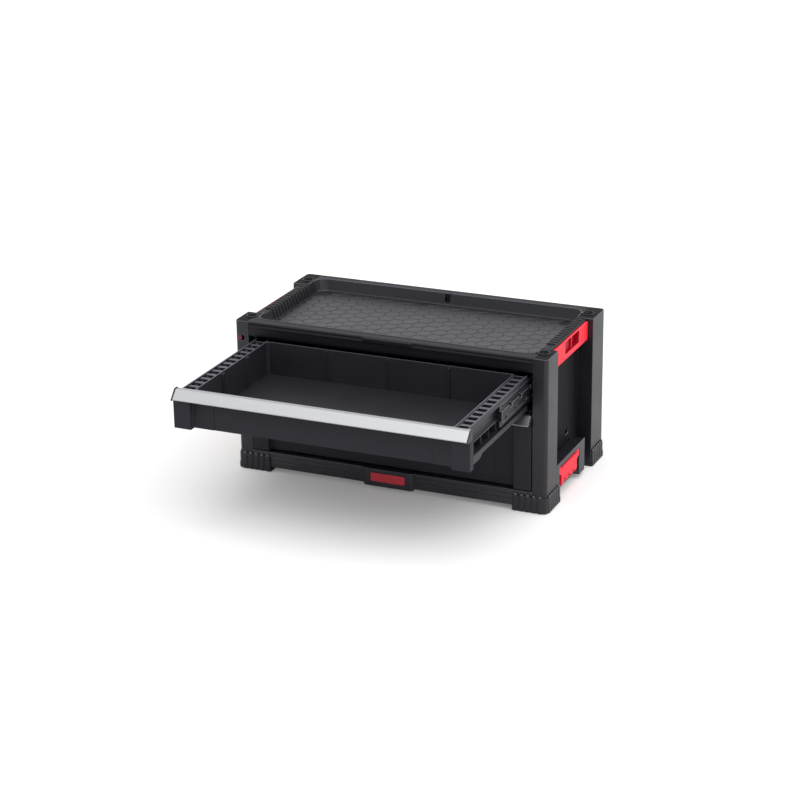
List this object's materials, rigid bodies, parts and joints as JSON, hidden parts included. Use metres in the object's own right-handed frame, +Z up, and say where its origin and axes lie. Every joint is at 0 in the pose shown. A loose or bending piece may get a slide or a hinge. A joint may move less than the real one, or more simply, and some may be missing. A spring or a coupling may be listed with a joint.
{
  "type": "stackable drawer tool chest",
  "caption": "Low stackable resin tool chest with a ribbed tray top, drawers on extending slides with aluminium finger-pull trims, side catches and fold-down latches.",
  "frame": {"origin": "bottom centre of the box around the chest and its open upper drawer, on the floor", "axes": "+X to the right along the fronts, +Y from the fronts to the back, +Z up"},
  "size_m": [0.5636, 0.558, 0.2658],
  "materials": {
    "black_resin": "fine matt texture",
    "grey_resin": "fine matt texture",
    "red_resin": "satin",
    "aluminium_trim": "satin anodised",
    "zinc_steel": "zinc plated"
  },
  "bodies": {
    "cabinet": {"left_side_panel": "black_resin", "right_side_panel": "black_resin", "back_panel": "black_resin", "base": "black_resin", "plate_insert": "red_resin", "top_tray": "grey_resin", "left_catch": "red_resin", "right_catch": "red_resin", "left_latch_pin": "zinc_steel", "right_latch_pin": "zinc_steel", "front_left_foot": "black_resin", "back_left_foot": "black_resin", "front_right_foot": "black_resin", "back_right_foot": "black_resin", "upper_left_rail": "black_resin", "upper_right_rail": "black_resin", "lower_left_rail": "black_resin", "lower_right_rail": "black_resin", "front_left_foot_screw": "zinc_steel", "back_left_foot_screw": "zinc_steel", "front_right_foot_screw": "zinc_steel", "back_right_foot_screw": "zinc_steel", "back_panel_screw_1": "zinc_steel", "back_panel_screw_2": "zinc_steel", "back_panel_screw_3": "zinc_steel", "back_panel_screw_4": "zinc_steel"},
    "upper_drawer": {"upper_drawer_bin": "black_resin", "upper_drawer_front": "black_resin", "upper_drawer_trim": "aluminium_trim", "upper_left_trim_cap": "black_resin", "upper_right_trim_cap": "black_resin", "upper_drawer_screw_1": "zinc_steel", "upper_drawer_screw_2": "zinc_steel", "upper_drawer_screw_3": "zinc_steel"},
    "lower_drawer": {"lower_drawer_bin": "black_resin", "lower_drawer_front": "black_resin", "lower_drawer_trim": "aluminium_trim", "lower_left_trim_cap": "black_resin", "lower_right_trim_cap": "black_resin", "lower_drawer_screw_1": "zinc_steel", "lower_drawer_screw_2": "zinc_steel", "lower_drawer_screw_3": "zinc_steel"},
    "upper_carriages": {"upper_left_carriage": "black_resin", "upper_right_carriage": "black_resin"},
    "lower_carriages": {"lower_left_carriage": "black_resin", "lower_right_carriage": "black_resin"},
    "left_latch": {"left_latch": "red_resin"},
    "right_latch": {"right_latch": "red_resin"},
    "lock_slider": {"lock_slider": "red_resin"}
  },
  "joints": [
    {"name": "upper_drawer_slide", "type": "slide", "parent": "cabinet", "child": "upper_drawer", "axis": [0, -1, 0], "range_m": [-0.262, 0]},
    {"name": "lower_drawer_slide", "type": "slide", "parent": "cabinet", "child": "lower_drawer", "axis": [0, -1, 0], "range_m": [0, 0.262]},
    {"name": "upper_carriage_slide", "type": "slide", "parent": "cabinet", "child": "upper_carriages", "axis": [0, -1, 0], "range_m": [-0.131, 0]},
    {"name": "lower_carriage_slide", "type": "slide", "parent": "cabinet", "child": "lower_carriages", "axis": [0, -1, 0], "range_m": [0, 0.131]},
    {"name": "left_latch_hinge", "type": "hinge", "parent": "cabinet", "child": "left_latch", "pos_m": [-0.2735, 0.1054, 0.0245], "axis": [0, -1, 0], "range_deg": [0, 120]},
    {"name": "right_latch_hinge", "type": "hinge", "parent": "cabinet", "child": "right_latch", "pos_m": [0.2735, 0.1054, 0.0245], "axis": [0, 1, 0], "range_deg": [0, 120]},
    {"name": "lock_slide", "type": "slide", "parent": "cabinet", "child": "lock_slider", "axis": [1, 0, 0], "range_m": [0, 0.0055]}
  ],
  "couplings": [
    {"joint": "upper_carriage_slide", "follows": "upper_drawer_slide", "ratio": 0.5},
    {"joint": "lower_carriage_slide", "follows": "lower_drawer_slide", "ratio": 0.5}
  ]
}
